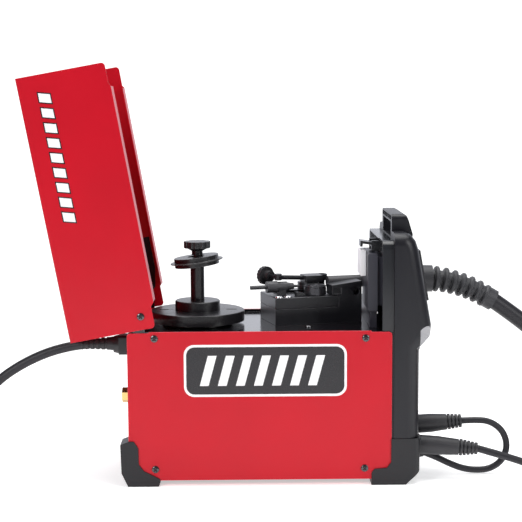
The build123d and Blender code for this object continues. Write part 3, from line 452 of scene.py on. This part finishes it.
def turned_along(name, points, profile, material, around=40):
    """A turned shape bent along a line: profile lists (distance, radius) in millimetres."""
    rows = frames_along(points)
    lengths = [0.0]
    for first, second in zip(points, points[1:]):
        lengths.append(lengths[-1] + (second - first).length)
    stations = []
    for distance, radius in profile:
        centre, way, side, up = along_line(rows, lengths, distance * MM)
        stations.append((centre, way.normalized(), side.normalized(), up.normalized(), radius * MM))
    return turned(name, stations, material, around)


# ---------------------------------------------------------------- plain pieces with rounded edges, lighter for wear and a painted highlight
BEVELS = {
    "side_panel_near": 0.3,
    "side_panel_far": 0.3,
    "lid_shell": 0.3,
    "deck": 0.3,
    "rear_panel": 0.2,
    "front_bezel": 0.35,
    "front_foot": 0.35,
    "rear_feet": 0.6,
    "lid_seat_rim": 0.5,
    "lid_latch": 0.4,
    "control_fascia": 0.3,
    "control_box": 0.6,
    "voltage_knob": 0.25,
    "wire_speed_knob": 0.25,
    "spindle_post": 0.3,
    "spool_hub": 0.4,
    "hold_down_cap": 0.35,
    "hold_down_knob": 0.4,
    "drive_housing": 0.6,
    "drive_cover": 0.4,
    "wire_guides": 0.3,
    "drive_roll": 0.2,
    "idler_roll": 0.2,
    "idler_arm": 0.3,
    "tension_arm": 0.5,
    "tension_knob": 0.3,
    "gas_fittings": 0.3,
    "power_rocker": 0.4,
    "power_gland": 0.5,
    "upper_plug": 0.3,
    "lower_plug": 0.3,
    "panel_sockets": 0.3,
    "gun_boot": 0.3,
    "gun_handle": 0.5,
    "gun_trigger": 0.4,
    "gun_neck": 0.3,
    "gun_nozzle": 0.2,
    "contact_tip": 0.1,
    "clamp_lower_jaw": 0.3,
    "clamp_upper_jaw": 0.3,
}
PIECES = {node: refine(node, width) for node, width in BEVELS.items()}


def pale_chin():
    """The two flats that cut the chin's corners are a paler plastic."""
    mesh = PIECES["front_bezel"].data
    mesh.materials.append(MATS["chin"])
    pale = len(mesh.materials) - 1
    smallest = 4 * MM * MM
    for sign in (-1, 1):
        facing = (CHIN_OUTWARD * Vector((1, sign, 1))).normalized()
        for face in mesh.polygons:
            if face.normal.dot(facing) > 0.999 and face.area > smallest:
                face.material_index = pale


pale_chin()


# ---------------------------------------------------------------- cords
def cord_curve(name, points, diameter, material="rubber"):
    """A cord: one smooth spline with the route's points as its control points."""
    curve = bpy.data.curves.new(name, "CURVE")
    curve.dimensions = "3D"
    curve.bevel_depth = diameter / 2
    curve.bevel_resolution = 6
    curve.resolution_u = 6
    curve.use_fill_caps = True
    spline = curve.splines.new("NURBS")
    spline.points.add(len(points) - 1)
    for target, point in zip(spline.points, points):
        target.co = (*point, 1.0)
    spline.order_u = 3
    spline.use_endpoint_u = True
    curve.materials.append(MATS[material])
    piece = bpy.data.objects.new(name, curve)
    bpy.context.scene.collection.objects.link(piece)
    return piece


def sampled(points):
    """The points that a cord's spline passes through, read from the curve itself."""
    probe = cord_curve("probe", points, 0.002)
    probe.data.bevel_depth = 0.0
    probe.data.resolution_u = 12
    bpy.context.view_layer.update()
    graph = bpy.context.evaluated_depsgraph_get()
    mesh = bpy.data.meshes.new_from_object(probe.evaluated_get(graph))
    line = [v.co.copy() for v in mesh.vertices]
    bpy.data.objects.remove(probe)
    return line


def on_coil(centre, angle, radius, height):
    """A point at an angle in degrees and a radius round a centre."""
    turn = math.radians(angle)
    return (centre[0] + radius * math.cos(turn), centre[1] + radius * math.sin(turn), height)


def coil_turns(centre, stations, step=20.0):
    """Points of a wound coil. Each station is (angle, radius, height), and the cord eases between them."""
    points = []
    for (a0, r0, z0), (a1, r1, z1) in zip(stations, stations[1:]):
        count = max(1, round(abs(a1 - a0) / step))
        for k in range(count):
            share = k / count
            ease = share * share * (3 - 2 * share)
            angle = a0 + (a1 - a0) * share
            points.append(on_coil(centre, angle, r0 + (r1 - r0) * ease, z0 + (z1 - z0) * ease))
    points.append(on_coil(centre, *stations[-1]))
    return points


GUN_CABLE_D = 0.019
GUN_COIL = (0.523, 0.005)
GUN_ROUTE = [
    (0.276, 0.049, 0.183),
    (0.311, 0.050, 0.1585),
    (0.344, 0.055, 0.129),
    (0.377, 0.066, 0.097),
    (0.410, 0.082, 0.063),
    (0.443, 0.098, 0.033),
    (0.482, 0.1075, 0.014),
    (0.521, 0.1094, 0.0098),
]
INNER, OUTER = 0.0855, 0.1045
LOW, HIGH = 0.0098, 0.0290
GUN_TURNS = [
    (70, OUTER, LOW),
    (-200, OUTER, LOW),
    (-245, INNER, LOW),
    (-525, INNER, LOW),
    (-590, INNER, HIGH),
    (-830, INNER, HIGH),
    (-890, OUTER, HIGH),
    (-1100, OUTER, HIGH),
    (-1135, OUTER, 0.043),
    (-1165, 0.0965, 0.0505),
    (-1182, 0.0952, 0.0514),
]
GUN_END = [(0.4984, -0.0868, 0.0514)]


def gun_cable():
    """The gun's cable: down from the boot to the floor, and into its coil with the gun on top."""
    points = GUN_ROUTE + coil_turns(GUN_COIL, GUN_TURNS) + GUN_END
    piece = cord_curve("gun_cable_run", points, GUN_CABLE_D)
    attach(piece, "root")
    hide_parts("gun_cable", "gun_cable_coil")


WORK_CABLE_D = 0.008
WORK_COIL = (0.357, -0.002)
WORK_ROUTE = [
    (0.2405, -0.061, 0.0339),
    (0.262, -0.063, 0.028),
    (0.286, -0.0655, 0.021),
    (0.309, -0.0655, 0.0124),
    (0.332, -0.0588, 0.006),
    (0.355, -0.0502, 0.0044),
]
WORK_RADII = (0.048, 0.040, 0.032)
WORK_LAYERS = (0.0044, 0.0124, 0.0204)
WORK_LAST_TURN = [(2790.0, 0.032, 0.0204), (2860.0, 0.040, 0.0290)]
WORK_END = [(0.3972, -0.0003, 0.0326)]


def layered(radii, heights):
    """The places of a coil's turns: across one layer and back across the next."""
    cells = []
    for layer, height in enumerate(heights):
        across = radii if layer % 2 == 0 else radii[::-1]
        cells += [(radius, height) for radius in across]
    return cells


def wound(start, way, cells):
    """Stations of a neat coil with one turn in each cell, so that its changes of place never meet.

    A change of place takes move degrees. Round a change of layer it comes shift degrees sooner.
    """
    move, shift, phase = 45.0, 60.0, 300.0
    stations = [(start, *cells[0])]
    climbed = False
    for k, (here, after) in enumerate(zip(cells, cells[1:])):
        climbs = after[1] != here[1]
        if climbs or climbed:
            phase -= shift
        climbed = climbs
        at = start + way * (360.0 * k + phase)
        stations.append((at, *here))
        stations.append((at + way * move, *after))
    return stations


def work_cable():
    """The work lead: from its plug to the floor, and into its coil with the clamp on top."""
    stations = wound(-90.0, 1, layered(WORK_RADII, WORK_LAYERS)) + WORK_LAST_TURN
    points = WORK_ROUTE + coil_turns(WORK_COIL, stations, 24.0)[1:] + WORK_END
    piece = cord_curve("work_cable_run", points, WORK_CABLE_D)
    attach(piece, "root")
    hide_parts("work_cable", "work_cable_coil")


POWER_CORD_D = 0.0104
POWER_COIL = (-0.378, 0.007)
POWER_ROUTE = [
    (-0.1605, -0.045, 0.1518),
    (-0.182, -0.045, 0.152),
    (-0.208, -0.045, 0.1492),
    (-0.235, -0.045, 0.142),
    (-0.262, -0.045, 0.1295),
    (-0.288, -0.0455, 0.1125),
    (-0.309, -0.0465, 0.0895),
    (-0.325, -0.048, 0.0615),
    (-0.340, -0.0495, 0.033),
    (-0.360, -0.0503, 0.011),
]
POWER_RADII = (0.0572, 0.0468)
POWER_LAYERS = (0.0054, 0.0158, 0.0262)
POWER_CELLS = 5
POWER_LAST_TURN = [(-1550.0, 0.0572, 0.0262), (-1625.0, 0.052, 0.0405)]
POWER_END = [(-0.374, 0.059, 0.0438), (-0.370, 0.059, 0.044)]
# The sleeve's (distance, radius) in millimetres: a collar, ribs that grow smaller, and a tip.
COLLAR = [(0.0, 7.6), (2.0, 7.6)]
TIP = [(35.0, 5.5), (36.0, 5.25)]
RIBS, RIB_PITCH, RIB_TAPER = 5, 6.0, 0.38


def strain_relief():
    """A tapered, grooved sleeve where the mains lead leaves its gland."""
    profile = list(COLLAR)
    for k in range(RIBS):
        start = 4.0 + RIB_PITCH * k
        radius = 7.2 - RIB_TAPER * k
        profile += [(start, radius), (start + 3.4, radius - 0.1)]
        profile += [(start + 3.9, radius - 1.0), (start + 5.5, radius - 1.1)]
    profile += TIP
    piece = turned_along("mains_strain_relief", sampled(POWER_ROUTE), profile, "plug")
    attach(piece, "root")
    return piece


def power_cord():
    """The mains lead: from its gland down to the floor, and into its coil with the plug on top."""
    cells = layered(POWER_RADII, POWER_LAYERS)[:POWER_CELLS]
    stations = wound(270.0, -1, cells) + POWER_LAST_TURN
    points = POWER_ROUTE + coil_turns(POWER_COIL, stations, 24.0)[1:] + POWER_END
    piece = cord_curve("power_cord_run", points, POWER_CORD_D)
    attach(piece, "root")
    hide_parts("power_cord", "power_cord_coil")
    strain_relief()


LEAD_D = 0.0072
POLARITY_ROUTE = [
    (0.2265, -0.036, 0.0595),
    (0.242, -0.0362, 0.0604),
    (0.2583, -0.037, 0.059),
    (0.2725, -0.0385, 0.0487),
    (0.2779, -0.040, 0.032),
    (0.2725, -0.0415, 0.0153),
    (0.2583, -0.0425, 0.0056),
    (0.2415, -0.043, 0.0044),
    (0.226, -0.043, 0.0068),
    (0.211, -0.0428, 0.0129),
    (0.197, -0.0424, 0.0201),
    (0.183, -0.042, 0.0255),
]


def polarity_lead():
    """The short lead that loops from the upper plug back into the case."""
    piece = cord_curve("polarity_lead_run", POLARITY_ROUTE, LEAD_D)
    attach(piece, "root")
    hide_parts("polarity_lead")


gun_cable()
work_cable()
power_cord()
polarity_lead()


# ---------------------------------------------------------------- decals
def near_side(x, z, y):
    """A place on the near side, y millimetres proud of it. The far one is its mirror image."""
    return Vector((x * MM, -SIDE_Y - y * MM, z * MM))


def far_side(x, z, y):
    return Vector((x * MM, SIDE_Y + y * MM, z * MM))


def lid_opened(point):
    """Where a point of the closed lid is when the lid stands open, as it is at rest."""
    return HINGE + Matrix.Rotation(-LID_ANGLE, 3, "Y") @ (point - HINGE)


def slanted(x, width, lean, low, high):
    """A bar from low to high, whose foot starts at x and whose top stands lean further on."""
    return [(x, low), (x + width, low), (x + width + lean, high), (x + lean, high)]


def side_badge(name, place):
    """A black panel with a white border and a row of plain slanted bars."""
    left, right, low, high = -82.0, 94.0, 99.0, 156.0
    border, margin, pitch = 2.6, 12.0, 19.5
    outer = rounded_outline(left, right, low, high, 11)
    parts = [solid_from(name + "_b", outer, 0.0, 0.12, place, "white")]
    inner = rounded_outline(left + border, right - border, low + border, high - border, 9)
    parts.append(solid_from(name + "_i", inner, 0.02, 0.2, place, "ink_and_recess_shade"))
    for k in range(7):
        bar = slanted(left + 17 + pitch * k, 9.5, 9.0, low + margin, high - margin)
        parts.append(solid_from(f"{name}_{k}", bar, 0.1, 0.28, place, "white"))
    badge = joined(name, parts)
    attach(badge, "root")


def lid_badge(name, side):
    """A row of slanted white dashes with a black outline along the lid's top edge."""

    def place(x, z, y):
        wall = (SIDE_Y + y * MM) * side
        return lid_opened(Vector((x * MM, wall, z * MM)))

    low, high = 234.0, 248.6
    border, first, pitch = 1.2, -16.8, 16.0
    parts = []
    for k in range(9):
        x = first + pitch * k
        outer = slanted(x, 12.0, 4.0, low, high)
        inner = slanted(x + 1.6, 9.5, 3.3, low + border, high - border)
        parts.append(solid_from(f"{name}_o{k}", outer, 0.0, 0.12, place, "ink_and_recess_shade"))
        parts.append(solid_from(f"{name}_w{k}", inner, 0.05, 0.22, place, "white"))
    badge = joined(name, parts)
    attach(badge, "lid")


side_badge("near_side_badge", near_side)
side_badge("far_side_badge", far_side)
lid_badge("near_lid_badge", -1)
lid_badge("far_lid_badge", 1)


# ---------------------------------------------------------------- screws and trim
DOME = ((-0.6, 1.0), (0.35, 1.0), (0.62, 0.93), (0.85, 0.72), (1.0, 0.38))
PANEL_SCREWS = ((-113.5, 163.0), (114.5, 162.3), (-114.0, 19.0), (113.6, 18.7))
DECK_SCREWS = ((55.0, -32.5), (-30.0, 62.0), (-125.0, 0.0))
TOWER_SCREWS = ((6.0, 6.0), (17.0, 6.0))
DECK_SCREW_Z = 166.5
TOWER_SCREW_Z = 197.4
SCREW_RADIUS = 4.0


def cross_screw(centre, outward, radius, rise, material):
    """A domed screw head with a cross recess, whose faces are coloured near-black as painted shade in the
    recess.
    """
    way = Vector(outward)
    side = way.orthogonal().normalized()
    up = way.cross(side)
    foot = Vector(centre) * MM
    stations = []
    for height, share in DOME:
        stations.append((foot + way * (rise * height * MM), way, side, up, radius * share * MM))
    head = turned("screw", stations, material, 28)
    arm, width, depth = radius * 0.62, radius * 0.2, rise * 0.75
    cross = [(arm, width), (width, width), (width, arm), (-width, arm), (-width, width), (-arm, width)]
    cross += [(-x, -y) for x, y in cross]

    def place(x, y, z):
        return foot + (side * x + up * y + way * z) * MM

    cutter = solid_from("cutter", cross, rise - depth, rise + 1.0, place, "ink_and_recess_shade")
    for mesh in (head.data, cutter.data):
        mesh.materials.append(MATS["ink_and_recess_shade"])
    # The cutter's faces become the recess faces, coloured black: painted shade in the recess.
    for face in cutter.data.polygons:
        face.material_index = 1
    mod = head.modifiers.new("recess", "BOOLEAN")
    mod.object = cutter
    mod.solver = "EXACT"
    bake_modifiers(head)
    bpy.data.objects.remove(cutter)
    smooth(head.data, 40.0)
    return head


def case_screws():
    """The screws of both side panels, of the deck and of the wire drive's tower."""
    heads = []
    for sign in (-1, 1):
        for x, z in PANEL_SCREWS:
            centre = (x, sign * SIDE_Y / MM, z)
            heads.append(cross_screw(centre, (0, sign, 0), SCREW_RADIUS, 2.0, "black_screw"))
    for x, y in DECK_SCREWS:
        heads.append(cross_screw((x, y, DECK_SCREW_Z), (0, 0, 1), SCREW_RADIUS, 2.2, "black_screw"))
    for u, v in TOWER_SCREWS:
        x = DRIVE_CORNER[0] + u * math.cos(DRIVE_YAW) - v * math.sin(DRIVE_YAW)
        y = DRIVE_CORNER[1] + u * math.sin(DRIVE_YAW) + v * math.cos(DRIVE_YAW)
        heads.append(cross_screw((x, y, TOWER_SCREW_Z), (0, 0, 1), 4.2, 2.0, "bright"))
    whole = joined("case_screw_heads", heads)
    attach(whole, "root")
    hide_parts("case_screws")


def hinge_pin_heads():
    """The heads of the two pins that the lid turns on."""
    heads = []
    for sign in (-1, 1):
        centre = (HINGE.x / MM, sign * (SIDE_Y / MM + 0.35), HINGE.z / MM)
        heads.append(cross_screw(centre, (0, sign, 0), SCREW_RADIUS, 1.75, "black_screw"))
    whole = joined("hinge_pin_heads", heads)
    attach(whole, "root")
    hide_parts("hinge_pins")


def pale_cover():
    """The pale cover behind the board housing."""

    def upright(x, z, y):
        return Vector((x, y, z)) * MM

    outline = rounded_outline(112.6, 119.2, 223.0, 252.5, 1.5)
    cover = solid_from("pale_cover", outline, -30.0, 6.0, upright, "pale", 0.0005)
    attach(cover, "root")


def lid_liner():
    """The black liner inside the lid's far wall. Its outline is that of the closed lid."""
    inner_face = 81.2
    outline = [(-136, 196), (-118, 180), (-96, 176), (-58, 176), (-58, 255), (-70, 262), (-136, 262)]

    def inner_wall(x, z, y):
        return lid_opened(Vector((x, inner_face - y, z)) * MM)

    liner = solid_from("lid_liner", outline, 0.0, 1.6, inner_wall, "liner", 0.0004)
    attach(liner, "lid")


case_screws()
hinge_pin_heads()
pale_cover()
lid_liner()


# ---------------------------------------------------------------- camera, floor and light
CAMERA_PLACE = (-0.0163, -1.5061, 0.4118)
CAMERA_ANGLES = (6.62, 0.73, -0.29)
CAMERA_LENS = 92.44


def camera():
    """A long lens square to the near side, which looks down by its first angle in degrees."""
    pitch, yaw, roll = (math.radians(angle) for angle in CAMERA_ANGLES)
    ahead = Vector(
        (math.sin(yaw) * math.cos(pitch), math.cos(yaw) * math.cos(pitch), -math.sin(pitch))
    )
    right = Vector((math.cos(yaw), -math.sin(yaw), 0.0))
    up = right.cross(ahead)
    turned_right = right * math.cos(roll) + up * math.sin(roll)
    turned_up = up * math.cos(roll) - right * math.sin(roll)
    data = bpy.data.cameras.new("camera")
    data.sensor_width = 36.0
    data.lens = CAMERA_LENS
    obj = bpy.data.objects.new("camera", data)
    obj.matrix_world = Matrix(
        (
            (turned_right.x, turned_up.x, -ahead.x, CAMERA_PLACE[0]),
            (turned_right.y, turned_up.y, -ahead.y, CAMERA_PLACE[1]),
            (turned_right.z, turned_up.z, -ahead.z, CAMERA_PLACE[2]),
            (0, 0, 0, 1),
        )
    )
    bpy.context.scene.collection.objects.link(obj)
    bpy.context.scene.camera = obj


def floor():
    """A white floor that glows a little, so that only contact shadows show on it."""
    bm = bmesh.new()
    corners = ((-1.1, -1.9), (1.3, -1.9), (1.3, 0.62), (-1.1, 0.62))
    bm.faces.new([bm.verts.new((x, y, 0.0)) for x, y in corners])
    mesh = bpy.data.meshes.new("floor")
    bm.to_mesh(mesh)
    bm.free()
    obj = link("floor", mesh)
    mat, _, _, bsdf = new_material("pale_floor")
    bsdf.inputs["Base Color"].default_value = (0.9, 0.9, 0.9, 1)
    bsdf.inputs["Roughness"].default_value = 0.9
    bsdf.inputs["Emission Color"].default_value = (1, 1, 1, 1)
    bsdf.inputs["Emission Strength"].default_value = 0.5
    mesh.materials.append(mat)


def softbox(name, place, target, size, power):
    """A rectangular light that points at a target."""
    data = bpy.data.lights.new(name, "AREA")
    data.shape = "RECTANGLE"
    data.size, data.size_y = size
    data.energy = power
    obj = bpy.data.objects.new(name, data)
    obj.location = place
    way = Vector(target) - Vector(place)
    obj.rotation_euler = way.to_track_quat("-Z", "Y").to_euler()
    bpy.context.scene.collection.objects.link(obj)


DIM_ROOM, BRIGHT_WALL = 0.10, 1.1
BACKDROP = 1.3


def studio():
    """White for the camera; for everything else a dim room with a bright wall behind the object."""
    world = bpy.data.worlds.new("studio")
    world.use_nodes = True
    nodes, links = world.node_tree.nodes, world.node_tree.links
    room = nodes["Background"]
    room.inputs["Color"].default_value = (0.9, 0.92, 1.0, 1)
    direction = nodes.new("ShaderNodeTexCoord").outputs["Generated"]
    parts = nodes.new("ShaderNodeSeparateXYZ")
    links.new(direction, parts.inputs["Vector"])
    behind = nodes.new("ShaderNodeMapRange")
    behind.interpolation_type = "SMOOTHSTEP"
    behind.inputs["From Min"].default_value = 0.3
    behind.inputs["From Max"].default_value = 0.9
    behind.inputs["To Min"].default_value = DIM_ROOM
    behind.inputs["To Max"].default_value = BRIGHT_WALL
    links.new(parts.outputs["Y"], behind.inputs["Value"])
    links.new(behind.outputs["Result"], room.inputs["Strength"])
    white = nodes.new("ShaderNodeBackground")
    white.inputs["Color"].default_value = (1, 1, 1, 1)
    white.inputs["Strength"].default_value = BACKDROP
    path = nodes.new("ShaderNodeLightPath")
    mix = nodes.new("ShaderNodeMixShader")
    links.new(path.outputs["Is Camera Ray"], mix.inputs[0])
    links.new(room.outputs[0], mix.inputs[1])
    links.new(white.outputs[0], mix.inputs[2])
    links.new(mix.outputs[0], nodes["World Output"].inputs["Surface"])
    bpy.context.scene.world = world
    softbox("overhead", (0.1, 0.2, 1.9), (0, 0, 0.1), (2.0, 1.4), 40.0)
    softbox("front_left", (-1.4, -1.7, 1.3), (0, 0, 0.2), (0.7, 1.1), 26.0)
    softbox("front_right", (1.6, -1.3, 1.1), (0.1, 0, 0.2), (0.6, 1.1), 16.0)
    bpy.context.scene.view_settings.view_transform = "Standard"


camera()
floor()
studio()
